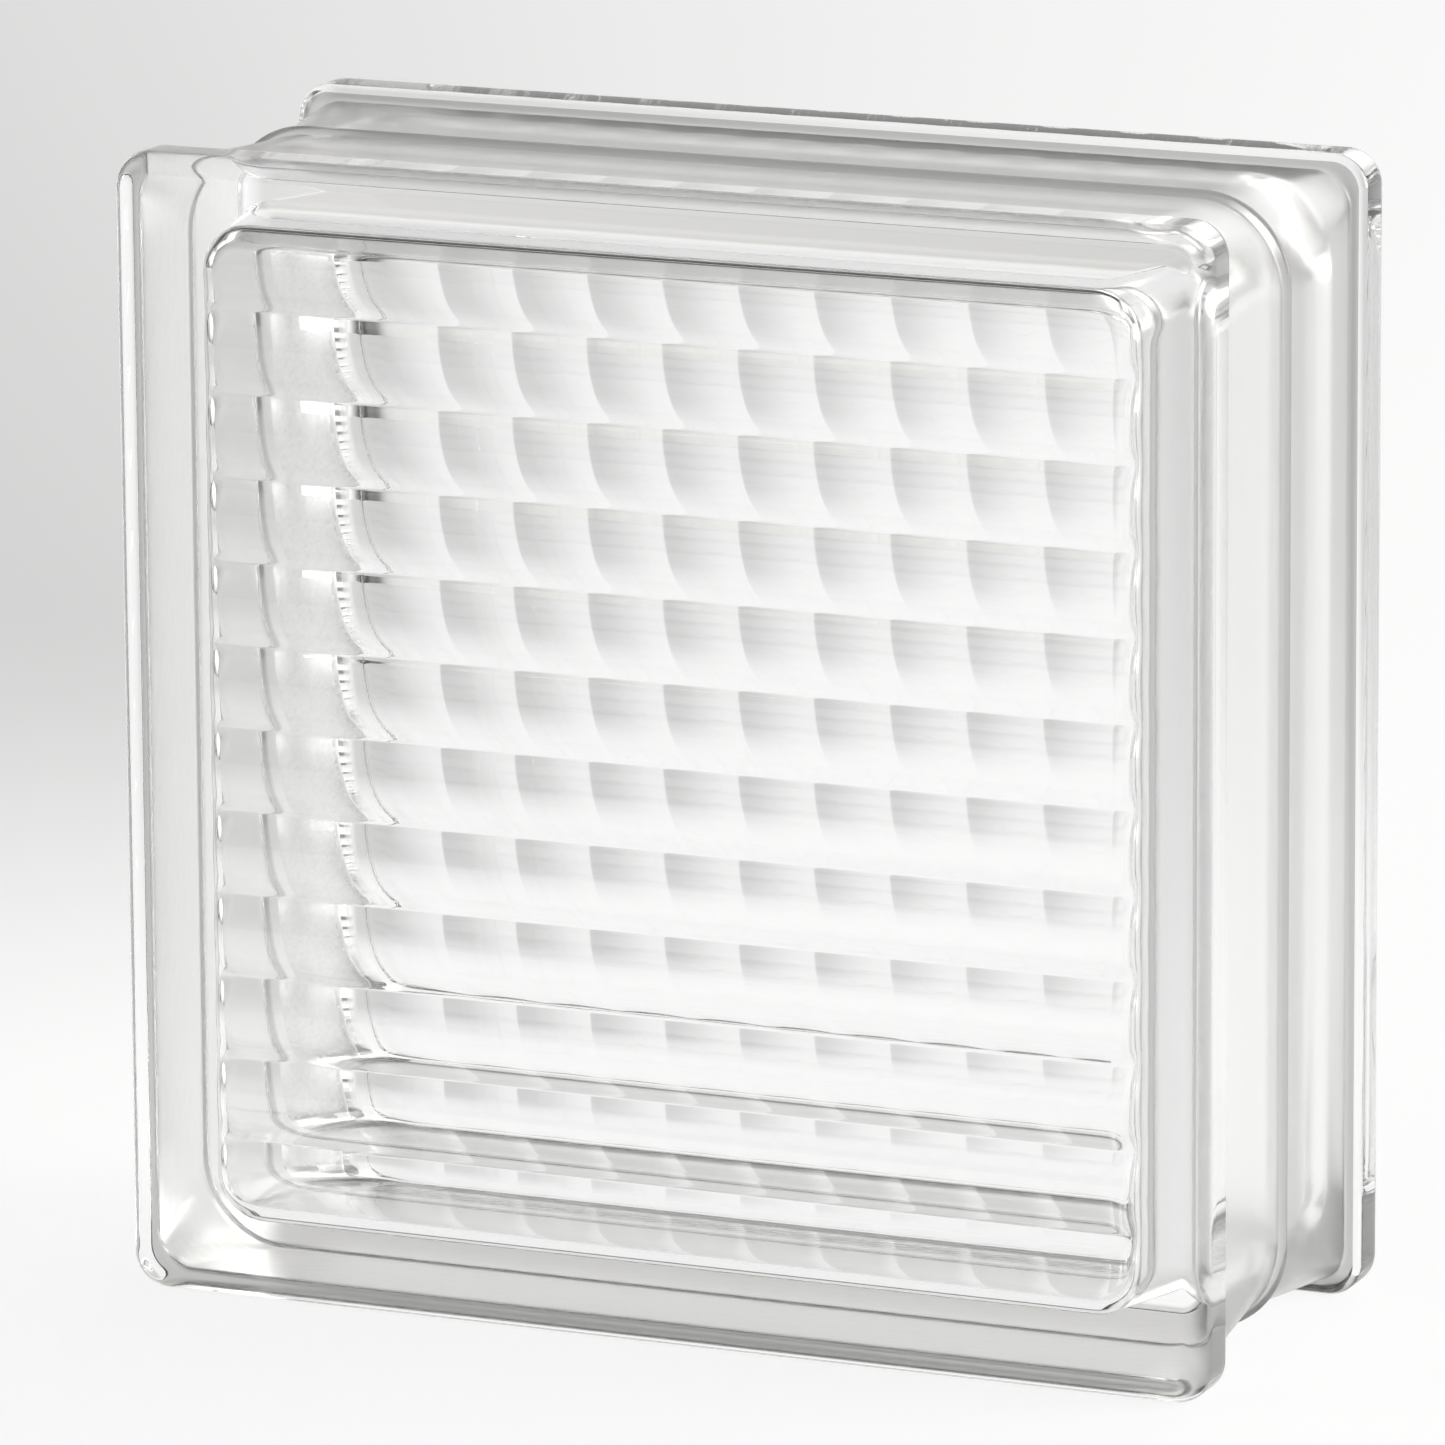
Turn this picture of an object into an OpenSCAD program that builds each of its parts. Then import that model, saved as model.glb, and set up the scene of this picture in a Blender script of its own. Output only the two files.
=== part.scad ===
// Hollow glass block: two pressed half shells, fused face to face along a seam at mid depth.
// It stands on the edges of its flanges. +Z is up, the front face looks towards -Y,
// and the origin is the middle of the base.

/* [Block] */
// Width across the faces
block_w = 190; // [140:1:300]
// Height as it stands
block_h = 190; // [140:1:300]
// Depth from face to face
block_d = 80; // [60:1:120]

/* [Flange] */
// Thickness of the flange around each face
flange_t = 10; // [8:0.5:16]
// Corner radius of the flange's outline
flange_corner_r = 6; // [5:0.5:12]
// Rounding of the edge around the face
face_edge_r = 3.5; // [1:0.25:4.5]
// Rounding of the flange's edge at the mortar channel
lip_edge_r = 1.3; // [0.5:0.1:2]

/* [Mortar channel] */
// Depth of the channel's floor below the flange's edge
channel_depth = 2.6; // [2:0.1:6]
// Corner radius of the channel's floor beside the flange
root_corner_r = 6; // [3:0.5:10]
// Corner radius of the channel's floor at the seam
seam_corner_r = 15; // [13:0.5:25]
// Width of the bead along the fused seam
bead_w = 3; // [1.5:0.25:5]
// Height of the bead above the channel's floor
bead_h = 1.2; // [0.4:0.1:1.5]

/* [Glass] */
// Thickness of a face at the crests of its flutes
face_t = 9; // [6:0.25:14]
// Thickness of the upright walls beside the face
side_wall_t = 10.9; // [8:0.1:14]
// Thickness of the level walls beside the face
level_wall_t = 9.2; // [8:0.1:14]
// Thickness of all four walls at the seam
wall_seam_t = 8.4; // [6:0.1:10]
// Corner radius of the hollow beside the face
hollow_corner_r = 8; // [4:0.5:12]

/* [Flutes] */
// Number of flutes across a face
flute_count = 12; // [6:1:20]
// Depth of a flute below its crests
flute_depth = 1.7; // [0.6:0.1:2.5]
// Width of the flat crest between two flutes
crest_w = 0.6; // [0.3:0.1:2]
// Flat border between the flutes and the side wall
flute_border = 0.6; // [0.3:0.1:2]

/* [Hidden] */
front_colour = [0.86, 0.90, 0.89, 0.6];
back_colour = [0.80, 0.86, 0.85, 0.6];
half_d = block_d / 2;
// Outline of the channel's floor
floor_w = block_w - 2 * channel_depth;
floor_h = block_h - 2 * channel_depth;
// Outline of the hollow beside the face and at the seam
hollow_face_w = floor_w - 2 * side_wall_t;
hollow_face_h = floor_h - 2 * level_wall_t;
hollow_seam_w = floor_w - 2 * wall_seam_t;
hollow_seam_h = floor_h - 2 * wall_seam_t;
hollow_seam_r = seam_corner_r - wall_seam_t;
// Field of flutes, inside its flat border
field_w = hollow_face_w - 2 * flute_border;
field_h = hollow_face_h - 2 * flute_border;
field_r = hollow_corner_r - flute_border;
// Circle of the bead's rounded back
bead_r = (pow(bead_w / 2, 2) + pow(bead_h, 2)) / (2 * bead_h);
// Thickness of the slices that a tapered wall is stretched between
slice = 0.1;
taper_sides = 48;
$fn = 96;

// Rectangle with round corners, centred
module rounded_rect(w, h, r) {
  square([w - 2 * r, h], center = true);
  square([w, h - 2 * r], center = true);
  for (x = [-1, 1], y = [-1, 1])
    translate([x * (w / 2 - r), y * (h / 2 - r)])
      circle(r);
}

// Carries a section around a rounded rectangle; the section's X axis starts at the corner's centre
module around_rect(w, h, r) {
  for (quarter = [0:3]) {
    side_w = quarter % 2 == 0 ? w : h;
    side_h = quarter % 2 == 0 ? h : w;
    rotate([0, 0, 90 * quarter]) {
      translate([side_w / 2 - r, 0, 0])
        rotate([90, 0, 0])
          linear_extrude(side_h - 2 * r, center = true)
            children();
      translate([side_w / 2 - r, side_h / 2 - r, 0])
        rotate_extrude(angle = 90)
          children();
    }
  }
}

// Stretches a wall between two rounded rectangles at depths z1 and z2
module tapered_block(w1, h1, r1, z1, w2, h2, r2, z2) {
  hull($fn = taper_sides) {
    translate([0, 0, z1])
      linear_extrude(slice)
        rounded_rect(w1, h1, r1, $fn = taper_sides);
    translate([0, 0, z2])
      linear_extrude(slice)
        rounded_rect(w2, h2, r2, $fn = taper_sides);
  }
}

// Section of the flange's edge, rounded at the face and at the channel
module flange_section() {
  translate([0, face_edge_r])
    square([flange_corner_r, flange_t - face_edge_r - lip_edge_r]);
  square([flange_corner_r - face_edge_r, flange_t - lip_edge_r]);
  translate([0, face_edge_r])
    square([flange_corner_r - lip_edge_r, flange_t - face_edge_r]);
  intersection() {
    translate([flange_corner_r - face_edge_r, face_edge_r])
      circle(face_edge_r);
    square([flange_corner_r, face_edge_r]);
  }
  translate([flange_corner_r - lip_edge_r, flange_t - lip_edge_r])
    circle(lip_edge_r);
}

// Flat plate of the face with its rounded flange
module flange_plate() {
  linear_extrude(flange_t)
    square([block_w - 2 * flange_corner_r, block_h - 2 * flange_corner_r], center = true);
  around_rect(block_w, block_h, flange_corner_r)
    flange_section();
}

// Half of the bead that the fused rims leave along the seam
module seam_bead() {
  around_rect(floor_w, floor_h, seam_corner_r)
    intersection() {
      translate([seam_corner_r + bead_h - bead_r, half_d])
        circle(bead_r);
      translate([seam_corner_r - bead_h, half_d - bead_w])
        square([2 * bead_h, bead_w]);
    }
}

// Row of concave flutes along X, pressed from the plane z = 0 towards -Z
module flute_row(length, span) {
  pitch = span / flute_count;
  half_chord = (pitch - crest_w) / 2;
  flute_r = (pow(half_chord, 2) + pow(flute_depth, 2)) / (2 * flute_depth);
  rotate([90, 0, 90])
    linear_extrude(length, center = true)
      for (i = [0:flute_count - 1])
        intersection() {
          translate([(i + 0.5) * pitch - span / 2, flute_r - flute_depth])
            circle(flute_r);
          translate([i * pitch - span / 2, -flute_depth])
            square([pitch, flute_depth + slice]);
        }
}

// Flutes inside the face's border, level or upright as the block stands
module flute_field(upright) {
  translate([0, 0, face_t])
    intersection() {
      translate([0, 0, -flute_depth])
        linear_extrude(flute_depth + slice)
          rounded_rect(field_w, field_h, field_r);
      if (upright)
        rotate([0, 0, 90])
          flute_row(field_h, field_w);
      else
        flute_row(field_w, field_h);
    }
}

// One pressed half, with its face on z = 0 and its rim at the seam
module half_shell(upright_flutes) {
  difference() {
    union() {
      flange_plate();
      tapered_block(floor_w, floor_h, root_corner_r, flange_t - slice,
                    floor_w, floor_h, seam_corner_r, half_d - slice);
      seam_bead();
    }
    tapered_block(hollow_face_w, hollow_face_h, hollow_corner_r, face_t,
                  hollow_seam_w, hollow_seam_h, hollow_seam_r, half_d);
    flute_field(upright_flutes);
  }
}

// Half with the front face, fluted level inside
module front_half() {
  color(front_colour)
    translate([0, -half_d, block_h / 2])
      rotate([-90, 0, 0])
        half_shell(false);
}

// Half with the back face, fluted upright inside
module back_half() {
  color(back_colour)
    translate([0, half_d, block_h / 2])
      rotate([90, 0, 0])
        half_shell(true);
}

front_half();
back_half();
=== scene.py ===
# %% [markdown]
# # A hollow glass block
#
# This lesson dresses a glass block: two pressed half shells of clear glass, fused rim to rim.
# One half has level flutes inside its face and the other has upright ones, so every crossing
# becomes a small lens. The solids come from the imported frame, and this file gives them
# the smooth skin that glass needs, because light bends at every facet.

# %% Load the frame
import math

import bmesh
import bpy
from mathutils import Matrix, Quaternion, Vector


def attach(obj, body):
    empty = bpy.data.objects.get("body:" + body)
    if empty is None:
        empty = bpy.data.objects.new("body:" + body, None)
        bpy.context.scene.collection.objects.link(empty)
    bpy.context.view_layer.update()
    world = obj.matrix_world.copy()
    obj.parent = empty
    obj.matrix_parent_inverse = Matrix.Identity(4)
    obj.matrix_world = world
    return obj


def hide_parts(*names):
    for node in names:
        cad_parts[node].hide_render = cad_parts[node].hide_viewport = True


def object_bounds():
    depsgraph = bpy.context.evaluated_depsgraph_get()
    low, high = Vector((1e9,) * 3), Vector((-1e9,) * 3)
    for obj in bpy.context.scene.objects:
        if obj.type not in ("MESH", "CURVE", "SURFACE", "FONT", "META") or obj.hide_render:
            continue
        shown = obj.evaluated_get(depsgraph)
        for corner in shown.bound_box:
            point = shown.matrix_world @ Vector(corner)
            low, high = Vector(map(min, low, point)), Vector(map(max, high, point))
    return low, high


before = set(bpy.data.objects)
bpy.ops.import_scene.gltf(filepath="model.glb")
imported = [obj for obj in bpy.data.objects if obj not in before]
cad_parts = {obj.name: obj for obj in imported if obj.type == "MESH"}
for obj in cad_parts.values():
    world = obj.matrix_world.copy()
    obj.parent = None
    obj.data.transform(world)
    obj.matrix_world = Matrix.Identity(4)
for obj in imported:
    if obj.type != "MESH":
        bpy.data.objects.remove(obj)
cad_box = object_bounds()
low, high = cad_box
print("block measures", [round(1000 * side, 2) for side in high - low], "mm")

# %% [markdown]
# ## Sizes
#
# The outer size is read from the frame, so the skin can never drift from the solids. The rest
# are the sizes of a pressed half shell. They are written in metres, by way of a millimetre.

# %% Sizes of the half shell
MM = 0.001
half_w = (high.x - low.x) / 2
half_h = (high.z - low.z) / 2
half_d = (high.y - low.y) / 2
mid_z = (high.z + low.z) / 2

flange_t = 10 * MM
flange_corner = 6 * MM
face_edge = 3.5 * MM
lip_edge = 1.3 * MM

channel_depth = 2.6 * MM
root_fillet = 1.3 * MM
root_corner = 6 * MM
seam_corner = 15 * MM
bead_half = 1.5 * MM
bead_h = 1.2 * MM

face_t = 9 * MM
side_wall_t = 10.9 * MM
level_wall_t = 9.2 * MM
wall_seam_t = 8.4 * MM
hollow_corner = 8 * MM
hollow_fillet = 2.5 * MM
flute_end = 4 * MM

flute_count = 12
flute_depth = 1.7 * MM
crest_w = 0.25 * MM
print("half shell is", round(half_d / MM, 2), "mm deep, its face", face_t / MM, "mm thick")

# %% [markdown]
# ## A way to write formulas as nodes
#
# Geometry Nodes can hold any formula, but a tree of Math nodes is hard to read back. A small
# class helps: it wraps one output socket, and Python's own signs add the Math node that joins
# two of them. The tree stays a plain node tree that anyone can open, and the script reads
# like algebra.

# %% Formula helper
class Formula:
    """A number in a node tree. Its signs and methods add Math nodes to that tree."""

    def __init__(self, tree, socket):
        self.tree = tree
        self.socket = socket

    def math(self, operation, *others):
        node = self.tree.nodes.new("ShaderNodeMath")
        node.operation = operation
        for slot, value in zip(node.inputs, (self, *others)):
            plug(self.tree, value, slot)
        return Formula(self.tree, node.outputs[0])

    def __add__(self, other):
        return self.math("ADD", other)

    def __sub__(self, other):
        return self.math("SUBTRACT", other)

    def __rsub__(self, other):
        return (self * -1) + other

    def __mul__(self, other):
        return self.math("MULTIPLY", other)

    def __truediv__(self, other):
        return self.math("DIVIDE", other)

    def at_least(self, other):
        return self.math("MAXIMUM", other)

    def at_most(self, other):
        return self.math("MINIMUM", other)

    def size(self):
        return self.math("ABSOLUTE")

    def sign(self):
        return self.math("SIGN")

    def root(self):
        return self.at_least(0.0).math("SQRT")

    def fraction(self):
        return self.math("FRACT")

    def whole(self):
        return self.math("FLOOR")

    def sine(self):
        return self.math("SINE")

    def cosine(self):
        return self.math("COSINE")


def plug(tree, value, slot):
    """Links a formula or a socket to a slot, or writes a plain value into it."""
    if isinstance(value, Formula):
        tree.links.new(value.socket, slot)
    elif isinstance(value, bpy.types.NodeSocket):
        tree.links.new(value, slot)
    else:
        slot.default_value = value


def add_node(tree, kind, settings=None, **inputs):
    """Adds a node, sets its options, and plugs in inputs by name, with _ for a space."""
    node = tree.nodes.new(kind)
    for name, value in (settings or {}).items():
        setattr(node, name, value)
    for name, value in inputs.items():
        plug(tree, value, node.inputs[name.replace("_", " ")])
    return node


print("formula helper ready")

# %% [markdown]
# ## The fluted hollow
#
# The plunger that presses a half shell leaves a hollow with a row of flutes across its floor.
# It could be carved by hand, but the flutes follow a rule, so a node tree makes them: a flat
# grid is spread over the floor, and one formula sinks every point by the depth of its flute
# and lifts it into the round corner at the wall. The points crowd together at the crests
# and at the wall, where the glass turns fastest.

# %% Formulas of the hollow
border_steps = 8
flute_steps = 12
crowding = 0.9
last_bit = 0.0001
wall_rings = (0.12, 0.3, 0.5, 0.7, 0.85, 0.92, 0.96, 0.98, 1.0)
grid_steps = 2 * border_steps + flute_count * flute_steps
quarter_turn = math.pi / 2
full_turn = 2 * math.pi


def spread(place, half, fillet):
    """Turns an even place from 0 to 1 into a place from -half to half, crowded where it bends."""
    step = place * grid_steps
    count = (place * 0) + flute_count
    pitch = half * 2 / count
    beside = (step - border_steps) / flute_steps
    inside = beside.at_least(0.0).at_most(flute_count - last_bit)
    cell = inside.whole()
    along = inside - cell
    crowded = along - (along * full_turn).sine() * (crowding / full_turn)
    flat = (cell + crowded) * pitch
    shrink = (pitch - fillet) / pitch
    from_left = flat.at_most(pitch) * shrink + fillet + (flat - pitch).at_least(0.0)
    right_part = (flat - (half * 2 - pitch)).at_least(0.0)
    fluted = from_left - right_part * (fillet / pitch)
    left_turn = (step / border_steps).at_most(1.0) * quarter_turn
    right_turn = ((step * -1 + grid_steps) / border_steps).at_most(1.0) * quarter_turn
    left_gap = fillet * left_turn.cosine()
    right_gap = fillet * right_turn.cosine()
    return fluted - left_gap + right_gap - half


def rounded(across, up, half_across, half_up, corner):
    """Pulls the corner of a rectangle of places in to a round corner."""
    flat_across = half_across - corner
    flat_up = half_up - corner
    past_across = (across.size() - flat_across).at_least(0.0) / corner
    past_up = (up.size() - flat_up).at_least(0.0) / corner
    bent_across = past_across * (past_up * past_up * -0.5 + 1.0).root() * corner
    bent_up = past_up * (past_across * past_across * -0.5 + 1.0).root() * corner
    new_across = across.sign() * (across.size().at_most(flat_across) + bent_across)
    new_up = up.sign() * (up.size().at_most(flat_up) + bent_up)
    return new_across, new_up


def wall_distance(across, up, half_across, half_up, corner):
    """How far a place lies inside a rectangle with round corners."""
    past_across = across.size() - (half_across - corner)
    past_up = up.size() - (half_up - corner)
    out_across = past_across.at_least(0.0)
    out_up = past_up.at_least(0.0)
    outside = (out_across * out_across + out_up * out_up).root()
    inside = past_across.at_least(past_up).at_most(0.0)
    return corner - outside - inside


def fillet_rise(inset, radius):
    """How far a round corner lifts the floor at a distance from the wall."""
    short = (radius - inset).at_least(0.0)
    return radius - (radius * radius - short * short).root()


def deeper(one, other, round_w):
    """The deeper of two surfaces, with a round ridge where they cross."""
    apart = one - other
    return (one + other + (apart * apart + round_w * round_w).root()) * 0.5


def flute(place, half, depth):
    """Depth of the circular flute that a place across the row falls in."""
    count = (place * 0) + flute_count
    pitch = half * 2 / count
    off_middle = (((place + half) / pitch).fraction() - 0.5) * pitch
    chord = pitch * 0.5
    radius = (chord * chord + depth * depth) / (depth * 2)
    arc = (radius * radius - off_middle * off_middle).root() - (radius - depth)
    return arc.at_least(0.0)


print("grid of", grid_steps, "steps each way for", flute_count, "flutes")

# %% [markdown]
# ## One tree for both halves
#
# The two plungers differ only in which way their flutes run and which way they face, so one
# tree serves both: Upright turns the flutes and Side turns the hollow round. The floor's rim
# is then drawn out to the seam in rings, each a little wider, because a pressed wall
# needs draft or the plunger would stick.

# %% Node tree of the hollow
hollow_inputs = {
    "Half Width": half_w - channel_depth - side_wall_t,
    "Half Height": half_h - channel_depth - level_wall_t,
    "Seam Half Width": half_w - channel_depth - wall_seam_t,
    "Seam Half Height": half_h - channel_depth - wall_seam_t,
    "Corner Radius": hollow_corner,
    "Seam Corner Radius": seam_corner - wall_seam_t,
    "Fillet Radius": hollow_fillet,
    "End Radius": flute_end,
    "Crest Depth": half_d - face_t,
    "Flute Depth": flute_depth,
    "Crest Width": crest_w,
    "Upright": 0.0,
    "Side": -1.0,
}


def make_hollow_tree():
    """A tree that grows one half of the hollow: a fluted floor, then the wall down to the seam."""
    tree = bpy.data.node_groups.new("fluted_hollow", "GeometryNodeTree")
    for name, value in hollow_inputs.items():
        socket = tree.interface.new_socket(name, in_out="INPUT", socket_type="NodeSocketFloat")
        socket.default_value = value
    tree.interface.new_socket("Glass", in_out="INPUT", socket_type="NodeSocketMaterial")
    tree.interface.new_socket("Mesh", in_out="OUTPUT", socket_type="NodeSocketGeometry")
    given = tree.nodes.new("NodeGroupInput")
    size = {name: Formula(tree, given.outputs[name]) for name in hollow_inputs}

    grid = add_node(
        tree, "GeometryNodeMeshGrid",
        Size_X=1.0, Size_Y=1.0, Vertices_X=grid_steps + 1, Vertices_Y=grid_steps + 1,
    )
    spot = add_node(tree, "GeometryNodeInputPosition")
    split = add_node(tree, "ShaderNodeSeparateXYZ", Vector=spot.outputs[0])
    across = spread(Formula(tree, split.outputs["X"]) + 0.5, size["Half Width"], size["Fillet Radius"])
    up = spread(Formula(tree, split.outputs["Y"]) + 0.5, size["Half Height"], size["Fillet Radius"])

    mesh = grid.outputs["Mesh"]
    shares = {"share_across": across / size["Half Width"], "share_up": up / size["Half Height"]}
    for name, share in shares.items():
        store = add_node(tree, "GeometryNodeStoreNamedAttribute", Geometry=mesh, Name=name, Value=share)
        mesh = store.outputs[0]
    share_across = read_number(tree, "share_across")
    share_up = read_number(tree, "share_up")

    x, z = rounded(
        share_across * size["Half Width"], share_up * size["Half Height"],
        size["Half Width"], size["Half Height"], size["Corner Radius"],
    )
    inset = wall_distance(x, z, size["Half Width"], size["Half Height"], size["Corner Radius"])
    level = flute(z, size["Half Height"], size["Flute Depth"])
    upright = flute(x, size["Half Width"], size["Flute Depth"])
    sunk = level * (1.0 - size["Upright"]) + upright * size["Upright"]
    crests = fillet_rise(inset, size["Fillet Radius"]) * -1
    groove = sunk - fillet_rise(inset, size["End Radius"])
    depth = size["Crest Depth"] + deeper(crests, groove, size["Crest Width"])
    store = add_node(tree, "GeometryNodeStoreNamedAttribute", Geometry=mesh, Name="rim_depth", Value=depth)
    rim_depth = read_number(tree, "rim_depth")
    mesh = set_place(tree, store.outputs[0], None, x, rim_depth * size["Side"], z + mid_z)

    neighbours = add_node(tree, "GeometryNodeInputMeshEdgeNeighbors")
    edge = add_node(tree, "FunctionNodeCompare", {"data_type": "INT", "operation": "EQUAL"})
    tree.links.new(neighbours.outputs["Face Count"], edge.inputs[2])
    edge.inputs[3].default_value = 1
    rim = edge.outputs[0]
    for ring in wall_rings:
        grow = add_node(
            tree, "GeometryNodeExtrudeMesh", {"mode": "EDGES"},
            Mesh=mesh, Selection=rim, Offset_Scale=0.0,
        )
        wide = size["Half Width"] * (1.0 - ring) + size["Seam Half Width"] * ring
        tall = size["Half Height"] * (1.0 - ring) + size["Seam Half Height"] * ring
        corner = size["Corner Radius"] * (1.0 - ring) + size["Seam Corner Radius"] * ring
        x, z = rounded(share_across * wide, share_up * tall, wide, tall, corner)
        rim = grow.outputs["Top"]
        y = rim_depth * size["Side"] * (1.0 - ring)
        mesh = set_place(tree, grow.outputs["Mesh"], rim, x, y, z + mid_z)

    smooth = add_node(tree, "GeometryNodeSetShadeSmooth", Geometry=mesh)
    real = add_node(tree, "GeometryNodeRealizeInstances", Geometry=smooth.outputs[0])
    glazed = add_node(
        tree, "GeometryNodeSetMaterial", Geometry=real.outputs[0], Material=given.outputs["Glass"]
    )
    end = tree.nodes.new("NodeGroupOutput")
    tree.links.new(glazed.outputs[0], end.inputs["Mesh"])
    return tree


def read_number(tree, name):
    """A named number that each point of the mesh carries."""
    node = add_node(tree, "GeometryNodeInputNamedAttribute", {"data_type": "FLOAT"}, Name=name)
    return Formula(tree, node.outputs["Attribute"])


def set_place(tree, mesh, selection, x, y, z):
    """Moves the selected points, or all of them, to x, y, z."""
    place = tree.nodes.new("ShaderNodeCombineXYZ")
    for slot, value in zip(place.inputs, (x, y, z)):
        plug(tree, value, slot)
    mover = add_node(tree, "GeometryNodeSetPosition", Geometry=mesh, Position=place.outputs[0])
    if selection:
        tree.links.new(selection, mover.inputs["Selection"])
    return mover.outputs[0]


hollow_tree = make_hollow_tree()
print("hollow tree has", len(hollow_tree.nodes), "nodes")

# %% [markdown]
# ## The glass
#
# Pressed soda-lime glass is clear and almost colourless, with a faint tint in its depth. Its
# surface is fire polished, so it is smooth but not optically flat: the mould leaves slow waves
# that make straight lines tremble a little. One noise gives the waves as a bump, and a second
# one lets the tint come and go, as it does where the melt was mixed less well.

# %% Glass material
glass_ior = 1.52
glass_clear = (1.0, 1.0, 1.0, 1.0)
glass_tinted = (0.985, 0.99, 0.985, 1.0)
tint_size = 40 * MM
wave_size = 12 * MM
wave_height = 0.01 * MM


def blend(tree, share, pale, deep):
    """A colour between pale and deep, by a share from 0 to 1."""
    node = add_node(tree, "ShaderNodeMix", {"data_type": "RGBA"})
    plug(tree, share, node.inputs[0])
    plug(tree, pale, node.inputs[6])
    plug(tree, deep, node.inputs[7])
    return node.outputs[2]


def noise(tree, place, size):
    """A soft noise from 0 to 1, with spots of about the given size."""
    node = add_node(tree, "ShaderNodeTexNoise", Vector=place, Scale=1 / size, Detail=1.0)
    return Formula(tree, node.outputs[0])


def roughen(tree, place, size, height):
    """A bump of slow waves, ready for a shader's Normal."""
    waves = noise(tree, place, size)
    return add_node(tree, "ShaderNodeBump", Height=waves, Distance=height).outputs[0]


def make_glass():
    """Clear glass with slow waves and a faint tint."""
    material = bpy.data.materials.new("pressed_glass")
    material.use_nodes = True
    tree = material.node_tree
    shader = tree.nodes["Principled BSDF"]
    shader.inputs["Transmission Weight"].default_value = 1.0
    shader.inputs["IOR"].default_value = glass_ior
    shader.inputs["Roughness"].default_value = 0.0
    place = tree.nodes.new("ShaderNodeTexCoord").outputs["Object"]
    tint = blend(tree, noise(tree, place, tint_size), glass_clear, glass_tinted)
    plug(tree, tint, shader.inputs["Base Color"])
    plug(tree, roughen(tree, place, wave_size, wave_height), shader.inputs["Normal"])
    return material


glass = make_glass()
print("made", glass.name, "with waves", wave_height / MM, "mm high")

# %% [markdown]
# ## The coat in the channel
#
# The mortar channel is sprayed with a thin matt coat, which helps the mortar to hold and hides
# the joint. It lets light through but scatters it. Shade is painted into the coat's colour: it
# is darker in the corner beside the flange and along the foot of the seam. The rule is
# a distance across the block, so it is written with the same formulas as the hollow.

# %% Coat material
coat_ior = 1.52
coat_rough = 0.28
coat_through = 0.85
coat_pale = (1.0, 1.0, 0.99, 1.0)
# painted shade: the darker coat colour painted beside the flange and along the seam's foot
coat_shade_colour = (0.45, 0.45, 0.44, 1.0)
flange_shade_w = 2.2 * MM
seam_shade_w = 1.0 * MM
speck_size = 3 * MM
speck_height = 0.05 * MM
speck_share = 0.03


def ramp(value, start, end):
    """A soft step from 0 at start to 1 at end."""
    node = add_node(
        value.tree, "ShaderNodeMapRange", {"interpolation_type": "SMOOTHSTEP"},
        Value=value, From_Min=start, From_Max=end, To_Min=0.0, To_Max=1.0,
    )
    return Formula(value.tree, node.outputs["Result"])


def make_coat():
    """A matt coat, with painted shade beside the flange and along the foot of the seam."""
    material = bpy.data.materials.new("matt_channel_coat")
    material.use_nodes = True
    tree = material.node_tree
    shader = tree.nodes["Principled BSDF"]
    shader.inputs["Transmission Weight"].default_value = coat_through
    shader.inputs["IOR"].default_value = coat_ior
    shader.inputs["Roughness"].default_value = coat_rough
    place = tree.nodes.new("ShaderNodeTexCoord").outputs["Object"]
    split = add_node(tree, "ShaderNodeSeparateXYZ", Vector=place)
    off_seam = Formula(tree, split.outputs["Y"]).size()
    shoulder = half_d - flange_t
    # painted shade: the coat is darkened towards the flange's corner and at the foot of the seam
    flange_shade = ramp(off_seam, shoulder - flange_shade_w, shoulder)
    seam_shade = 1.0 - ramp(off_seam, bead_half - seam_shade_w, bead_half + seam_shade_w)
    painted_shade = flange_shade.at_least(seam_shade)
    specks = noise(tree, place, speck_size) * speck_share
    tone = blend(tree, (painted_shade + specks).at_most(1.0), coat_pale, coat_shade_colour)
    plug(tree, tone, shader.inputs["Base Color"])
    plug(tree, roughen(tree, place, speck_size, speck_height), shader.inputs["Normal"])
    return material


matt_glass = make_coat()
print("made", matt_glass.name, "which lets", coat_through, "of the light through")

# %% [markdown]
# ## Two halves of the hollow
#
# The front half gets level flutes and the back half upright ones. The tree's inputs are set
# by name, the result is read back as a plain mesh, and the helper object goes away.

# %% Grow the two halves of the hollow
def grow_hollow(name, side, upright):
    """Runs the tree for one half and returns its plain mesh."""
    holder = bpy.data.objects.new(name, bpy.data.meshes.new(name))
    bpy.context.scene.collection.objects.link(holder)
    modifier = holder.modifiers.new("fluted_hollow", "NODES")
    modifier.node_group = hollow_tree
    wanted = {**hollow_inputs, "Side": side, "Upright": upright, "Glass": glass}
    for item in hollow_tree.interface.items_tree:
        if item.in_out == "INPUT":
            modifier[item.identifier] = wanted[item.name]
    graph = bpy.context.evaluated_depsgraph_get()
    mesh = bpy.data.meshes.new_from_object(holder.evaluated_get(graph))
    bpy.data.objects.remove(holder)
    print(name, len(mesh.vertices), "points", len(mesh.polygons), "faces")
    return mesh


front_hollow = grow_hollow("front_hollow", -1.0, 0.0)
back_hollow = grow_hollow("back_hollow", 1.0, 1.0)

# %% [markdown]
# ## The outer skin
#
# Outside, a half shell is one section carried round a rounded square: a flat face, a rounded
# flange, a shoulder with a small fillet, and the floor of the mortar channel with half of the
# seam's bead. The floor's corners are rounder at the seam than at the flange, so the section
# can't simply be swept. Instead each point of the section becomes a ring with a corner radius
# of its own, and neighbouring rings are joined by a band of faces.

# %% Section of the outer skin
arc_steps = 8
floor_steps = 12
bead_steps = 6
face_ring = 6 * MM
edge_ring = 0.5 * MM


def arc(steps):
    """Angles from 0 to a quarter turn."""
    return [quarter_turn * step / steps for step in range(steps + 1)]


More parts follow.
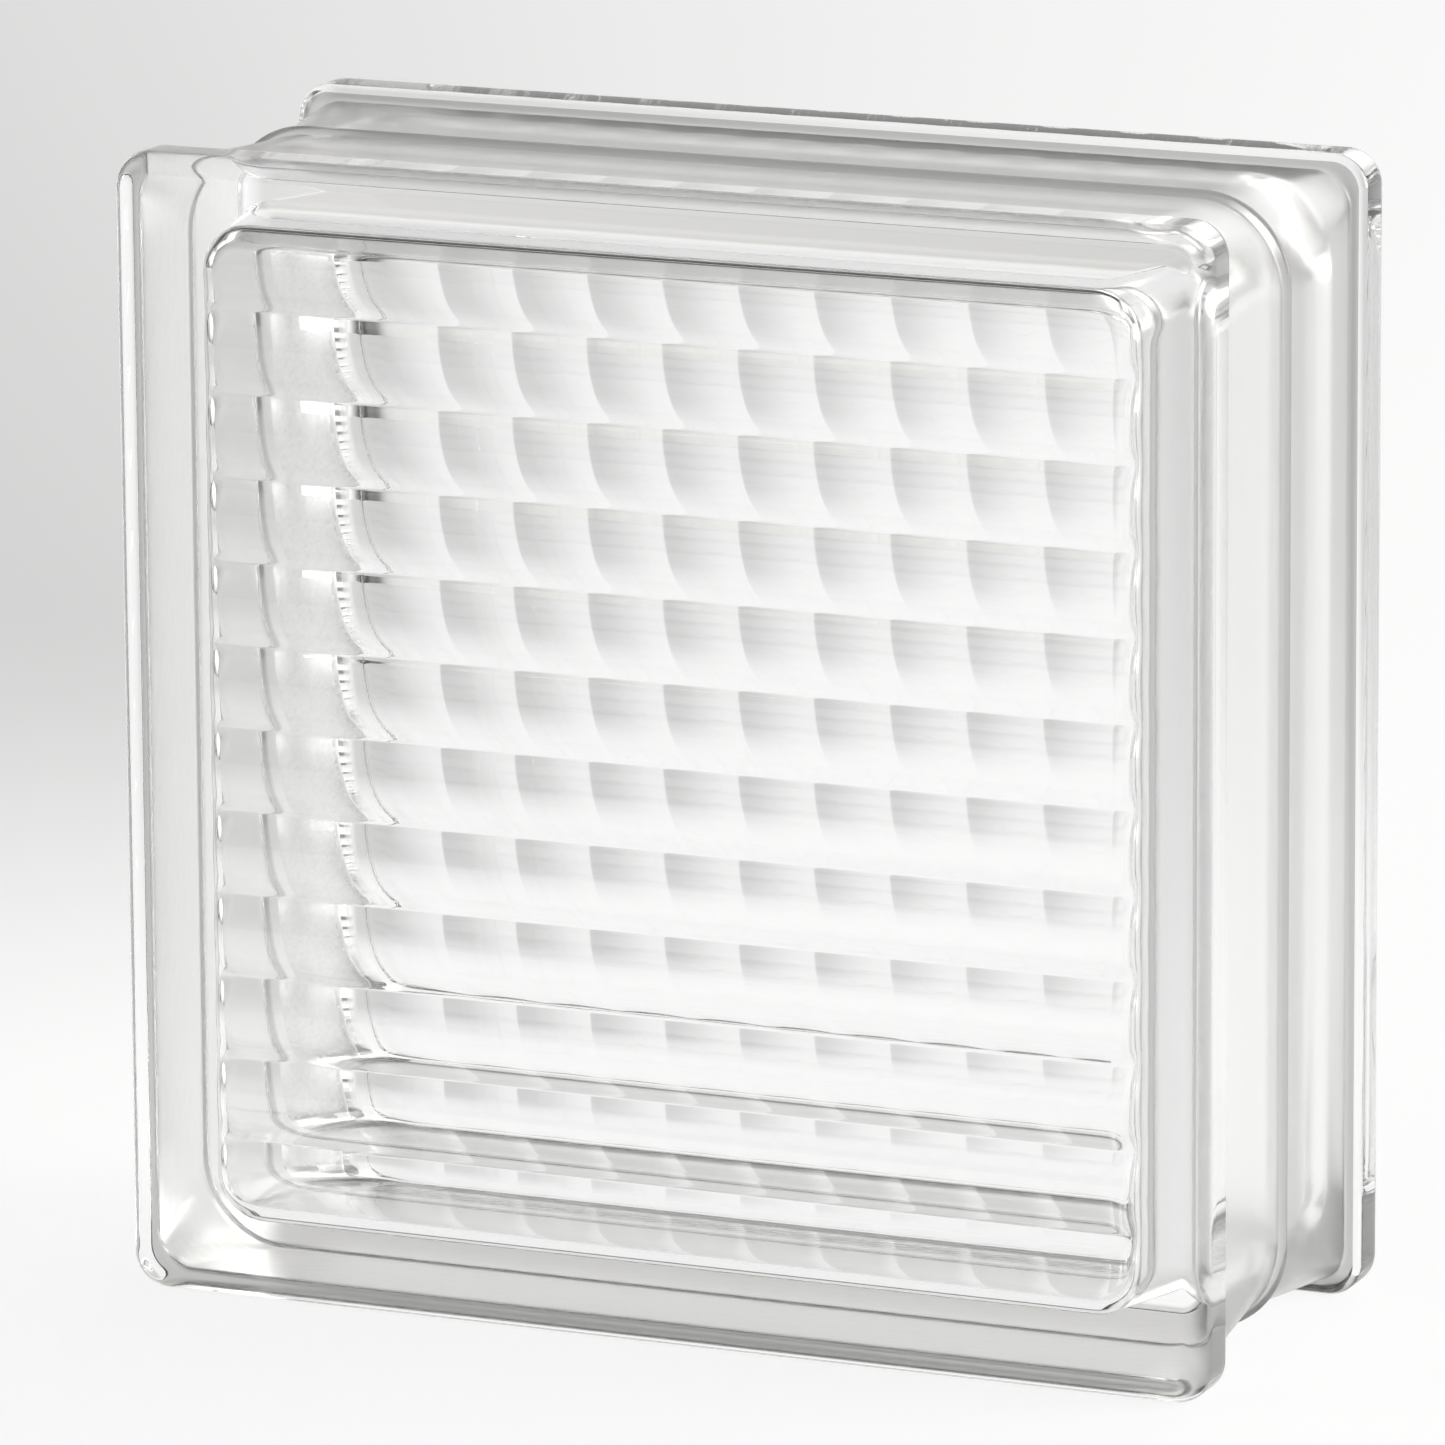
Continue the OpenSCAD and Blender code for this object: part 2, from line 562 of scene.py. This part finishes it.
def outer_section():
    """Points of the front half's section: inset from the outline, depth from the face, corner radius."""
    points = [(face_edge + face_ring, 0.0), (face_edge + edge_ring, 0.0)]
    points += [(face_edge * (1 - math.sin(a)), face_edge * (1 - math.cos(a))) for a in arc(arc_steps)]
    points += [(0.0, flange_t / 2)]
    lip_depth = flange_t - lip_edge
    points += [(lip_edge * (1 - math.cos(a)), lip_depth + lip_edge * math.sin(a)) for a in arc(arc_steps)]
    points = [(inset, depth, max(flange_corner - inset, MM)) for inset, depth in points]
    fillet_inset = channel_depth - root_fillet
    for a in arc(arc_steps):
        inset = fillet_inset + root_fillet * math.sin(a)
        depth = flange_t + root_fillet * (1 - math.cos(a))
        share = (inset - lip_edge) / (channel_depth - lip_edge)
        corner = (flange_corner - lip_edge) * (1 - share) + root_corner * share
        points.append((inset, depth, corner))
    floor_start = flange_t + root_fillet
    bead_start = half_d - bead_half
    for step in range(1, floor_steps + 1):
        depth = floor_start + (bead_start - floor_start) * step / floor_steps
        points.append((channel_depth, depth, floor_corner(depth)))
    for a in arc(bead_steps)[1:]:
        depth = bead_start + bead_half * a / quarter_turn
        points.append((channel_depth - bead_h * math.sin(a) ** 2, depth, floor_corner(depth)))
    return points


def floor_corner(depth):
    """Corner radius of the channel's floor, from the flange's shoulder to the seam."""
    start = flange_t + root_fillet
    share = (depth - start) / (half_d - start)
    return root_corner + share * (seam_corner - root_corner)


section = outer_section()
print("section has", len(section), "points")

# %% [markdown]
# ## Rings joined into a skin
#
# Each point of the section is carried round as a ring of places: four round corners and four
# straight sides, always the same number, so that two rings can be joined place by place. The
# faces of the channel get the second material, the coat.

# %% Rings of the outer skin
side_steps = 16
corner_steps = 16
weld = 0.01 * MM


def ring(inset, y, corner):
    """Points of a rounded rectangle at one depth, going round from the right side."""
    flat_w = half_w - inset - corner
    flat_h = half_h - inset - corner
    places = []
    for turn, (sx, sz) in enumerate(((1, 1), (-1, 1), (-1, -1), (1, -1))):
        start = quarter_turn * turn
        for step in range(corner_steps):
            a = start + quarter_turn * step / corner_steps
            places.append((sx * flat_w + corner * math.cos(a), sz * flat_h + corner * math.sin(a)))
        a = start + quarter_turn
        here = (sx * flat_w + corner * math.cos(a), sz * flat_h + corner * math.sin(a))
        next_x, next_z = ((-1, 1), (-1, -1), (1, -1), (1, 1))[turn]
        there = (next_x * flat_w + corner * math.cos(a), next_z * flat_h + corner * math.sin(a))
        for step in range(side_steps):
            share = step / side_steps
            places.append(tuple(p + (q - p) * share for p, q in zip(here, there)))
    return [Vector((x, y, mid_z + z)) for x, z in places]


def build_skin(skin):
    """Adds the closed outer skin to a bmesh."""
    front = [(inset, -half_d + depth, corner) for inset, depth, corner in section]
    back = [(inset, -y, corner) for inset, y, corner in reversed(front[:-1])]
    rings = [[skin.verts.new(spot) for spot in ring(*point)] for point in front + back]
    faces = []
    for near, far in zip(rings, rings[1:]):
        for i in range(len(near)):
            j = (i + 1) % len(near)
            face = skin.faces.new((near[i], near[j], far[j], far[i]))
            middle = face.calc_center_median()
            face.material_index = 1 if abs(middle.y) < half_d - flange_t + weld else 0
            faces.append(face)
    faces.append(skin.faces.new(list(reversed(rings[0]))))
    faces.append(skin.faces.new(rings[-1]))
    return faces


print("a ring has", 4 * (side_steps + corner_steps), "places")

# %% [markdown]
# ## One block
#
# In the works the rims of the two half shells are heated and pressed together, and the seam
# melts into one wall. Here the two hollows are welded along their rims into one closed shell
# that faces inward, and the outer skin is put round it. Both shells must be closed, or light
# would leak where glass begins and ends.

# %% Fuse the skin and the hollow
def fuse_block():
    """One mesh of the outer skin and the sealed hollow."""
    block = bmesh.new()
    for mesh in (front_hollow, back_hollow):
        block.from_mesh(mesh)
    bmesh.ops.remove_doubles(block, verts=block.verts, dist=weld)
    hollow_faces = list(block.faces)
    for face in hollow_faces:
        face.material_index = 0
    bmesh.ops.recalc_face_normals(block, faces=hollow_faces)
    bmesh.ops.reverse_faces(block, faces=hollow_faces)
    skin_faces = build_skin(block)
    bmesh.ops.recalc_face_normals(block, faces=skin_faces)
    open_edges = [edge for edge in block.edges if len(edge.link_faces) != 2]
    print("open edges:", len(open_edges))
    for face in block.faces:
        face.smooth = True
    mesh = bpy.data.meshes.new("glass_block")
    mesh.materials.append(glass)
    mesh.materials.append(matt_glass)
    block.to_mesh(mesh)
    block.free()
    return mesh


block_mesh = fuse_block()
block_piece = bpy.data.objects.new("glass_block", block_mesh)
bpy.context.scene.collection.objects.link(block_piece)
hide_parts("front_half", "back_half")
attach(block_piece, "root")
block_mesh.calc_loop_triangles()
print("block has", len(block_mesh.loop_triangles), "triangles")

# %% [markdown]
# ## The light
#
# Clear glass has no colour of its own: it shows the room. A white product picture of glass is
# lit from behind and from the sides, while the room in front and above stays dark. The bright
# haze along the horizon at the back whitens the cells, a softbox on the right whitens the
# channel, a high one at the back lights the top, two weak ones keep the left side from going
# black, and edges that bend the view into the dark turn grey. Lamps could do this, but soft
# patches in the world give the same light with less noise. Each patch has an azimuth, an
# elevation, a spread in degrees and a strength. The sum at the end is the light on a white
# card that lies on the floor.

# %% World
room = 0.03
haze_way, haze_spread = 0.0, 58.0
haze_low, haze_high = 0.95, 0.62
haze_start, haze_end = 0.02, 0.12
softboxes = {
    "left": (-115.0, 25.0, 30.0, 1.5),
    "back high": (10.0, 32.0, 30.0, 2.0),
    "left back": (-38.0, 20.0, 26.0, 0.28),
    "right": (72.0, 6.0, 40.0, 8.0),
}
light_tint = (1.0, 0.99, 0.97, 1.0)
card_step = 3


def toward(azimuth, elevation):
    """Unit vector: azimuth turns from the back to the right, elevation goes up."""
    a = math.radians(azimuth)
    e = math.radians(elevation)
    return Vector((math.sin(a) * math.cos(e), math.cos(a) * math.cos(e), math.sin(e)))


def lobe(tree, way, azimuth, elevation, spread):
    """1 where a unit vector points at the azimuth and elevation, fading to 0 at the spread."""
    dot = add_node(tree, "ShaderNodeVectorMath", {"operation": "DOT_PRODUCT"})
    tree.links.new(way, dot.inputs[0])
    dot.inputs[1].default_value = toward(azimuth, elevation)
    return ramp(Formula(tree, dot.outputs["Value"]), math.cos(math.radians(spread)), 1.0)


def make_world():
    """A dark room with a bright haze at the back and a few softboxes."""
    world = bpy.data.worlds.new("studio")
    bpy.context.scene.world = world
    world.use_nodes = True
    tree = world.node_tree
    way = tree.nodes.new("ShaderNodeTexCoord").outputs["Generated"]
    height = Formula(tree, add_node(tree, "ShaderNodeSeparateXYZ", Vector=way).outputs["Z"])
    haze = ramp(height, haze_start, haze_end) * (haze_high - haze_low) + haze_low
    total = lobe(tree, way, haze_way, 0.0, haze_spread) * haze + room
    for azimuth, elevation, spread, strength in softboxes.values():
        total = total + lobe(tree, way, azimuth, elevation, spread) * strength
    backdrop = tree.nodes["Background"]
    plug(tree, total, backdrop.inputs["Strength"])
    backdrop.inputs["Color"].default_value = light_tint


def soft(value, start, end):
    """The same soft step as the ramp of nodes, for plain numbers."""
    share = min(max((value - start) / (end - start), 0.0), 1.0)
    return share * share * (3 - 2 * share)


def patch_level(way):
    """How bright the world is in one direction."""
    haze = haze_low + (haze_high - haze_low) * soft(way.z, haze_start, haze_end)
    patches = [(haze_way, 0.0, haze_spread, haze), *softboxes.values()]
    level = room
    for azimuth, elevation, spread, strength in patches:
        level += strength * soft(way.dot(toward(azimuth, elevation)), math.cos(math.radians(spread)), 1.0)
    return level


def light_on_card():
    """Light on a level white card, summed over the sky in small patches."""
    total = 0.0
    for elevation in range(0, 90, card_step):
        for azimuth in range(-180, 180, card_step):
            way = toward(azimuth, elevation + card_step / 2)
            area = math.radians(card_step) ** 2 * math.hypot(way.x, way.y)
            total += patch_level(way) * way.z * area
    return total / math.pi


make_world()
card_light = light_on_card()
print("a white card on the floor is lit at", round(card_light, 2))

# %% [markdown]
# ## The floor
#
# The block stands on a plain pale table, whose light falls off a little with distance. Over an
# evenly white table the upright flutes can't be seen at all, because every little lens would
# show the same white twice; the falling off draws the grey half of each lens. The table glows
# by itself, so that its tone needs no more light on the block. The same tone meets the
# eye, a mirrored ray and a ray that has gone through the glass, so the glass shows the
# background that lies behind it. A thin diffuse coat takes the block's soft shadow.

# %% Floor
floor_half = 6.0
floor_drop = 0.2 * MM
floor_albedo = 0.2
floor_near = 0.98
floor_far = 0.66
bright_back, bright_back_spread = 6.0, 46.0
bright_right, bright_right_spread = 90.0, 70.0
fade_start, fade_end = 0.12, 0.55


def graded_table(tree):
    """Painted light on the table: a glow near white beside the block, dimmer further off except towards
    the back and the right.
    """
    place = tree.nodes.new("ShaderNodeTexCoord").outputs["Object"]
    split = add_node(tree, "ShaderNodeSeparateXYZ", Vector=place)
    x = Formula(tree, split.outputs["X"])
    y = Formula(tree, split.outputs["Y"])
    distance = (x * x + y * y).root()
    way = add_node(tree, "ShaderNodeVectorMath", {"operation": "NORMALIZE"})
    tree.links.new(place, way.inputs[0])
    # painted light: the glow stays bright towards the back and the right, and dims elsewhere with distance
    back = lobe(tree, way.outputs["Vector"], bright_back, 0.0, bright_back_spread)
    right = lobe(tree, way.outputs["Vector"], bright_right, 0.0, bright_right_spread)
    far = back.at_least(right) * (floor_near - floor_far) + floor_far
    fade = ramp(distance, fade_start, fade_end)
    return far * fade + (1.0 - fade) * floor_near


def make_floor():
    """The table: pale to the eye and to the glass alike, and matt enough for a shadow."""
    mesh = bpy.data.meshes.new("floor")
    edges = (-floor_half, floor_half)
    corners = [(x, y, -floor_drop) for x in edges for y in edges]
    mesh.from_pydata(corners, [], [(0, 2, 3, 1)])
    table = bpy.data.objects.new("floor", mesh)
    bpy.context.scene.collection.objects.link(table)
    paint = bpy.data.materials.new("floor_paint")
    paint.use_nodes = True
    tree = paint.node_tree
    tree.nodes.clear()
    path = tree.nodes.new("ShaderNodeLightPath")
    camera = Formula(tree, path.outputs["Is Camera Ray"])
    mirrored = Formula(tree, path.outputs["Is Glossy Ray"])
    through = Formula(tree, path.outputs["Is Transmission Ray"])
    reflected = floor_albedo * card_light
    seen = camera.at_least(mirrored).at_least(through)
    light = seen * (graded_table(tree) - reflected).at_least(0.0)
    glow = add_node(tree, "ShaderNodeEmission", Strength=light)
    grey = (floor_albedo, floor_albedo, floor_albedo, 1.0)
    matt = add_node(tree, "ShaderNodeBsdfDiffuse", Color=grey)
    both = tree.nodes.new("ShaderNodeAddShader")
    end = tree.nodes.new("ShaderNodeOutputMaterial")
    tree.links.new(glow.outputs[0], both.inputs[0])
    tree.links.new(matt.outputs[0], both.inputs[1])
    tree.links.new(both.outputs[0], end.inputs["Surface"])
    mesh.materials.append(paint)
    print("floor is", 2 * floor_half, "m wide, from", floor_near, "by the block to", floor_far, "far off")


make_floor()

# %% [markdown]
# ## The camera
#
# The picture was taken from a little to the right and a little above, with a long lens, so the
# block's upright edges stay almost parallel. The place and the lens were found by matching
# the corners of the block. The aim is a hair off the middle, and the camera leans slightly.

# %% Camera
view_azimuth = 23.49
view_elevation = 13.009
view_distance = 1.87286
aim_azimuth = 23.637
aim_elevation = 13.003
aim_roll = -0.381
lens = 286.59
sensor = 36.0
front = 180.0


def make_camera():
    """The camera, placed and aimed by angles."""
    data = bpy.data.cameras.new("camera")
    data.lens = lens
    data.sensor_width = sensor
    camera = bpy.data.objects.new("camera", data)
    bpy.context.scene.collection.objects.link(camera)
    viewer = toward(front - view_azimuth, view_elevation)
    camera.location = Vector((0, 0, mid_z)) + viewer * view_distance
    aim = -toward(front - aim_azimuth, aim_elevation)
    camera.rotation_mode = "QUATERNION"
    lean = Quaternion((0, 0, 1), math.radians(aim_roll))
    camera.rotation_quaternion = aim.to_track_quat("-Z", "Y") @ lean
    bpy.context.scene.camera = camera
    print("camera stands", [round(axis, 3) for axis in camera.location], "m from the block's foot")


make_camera()

# %% [markdown]
# ## How far light is followed
#
# Inside a thick glass wall a ray is thrown to and fro many times before it leaves. With the
# usual number of bounces such rays end in black, so the renderer may follow them longer.

# %% Bounces and colour
glass_bounces = 16
mirror_bounces = 8
bpy.context.scene.cycles.max_bounces = glass_bounces
bpy.context.scene.cycles.transmission_bounces = glass_bounces
bpy.context.scene.cycles.glossy_bounces = mirror_bounces
bpy.context.scene.view_settings.view_transform = "Standard"
print("rays are followed through", glass_bounces, "bounces")
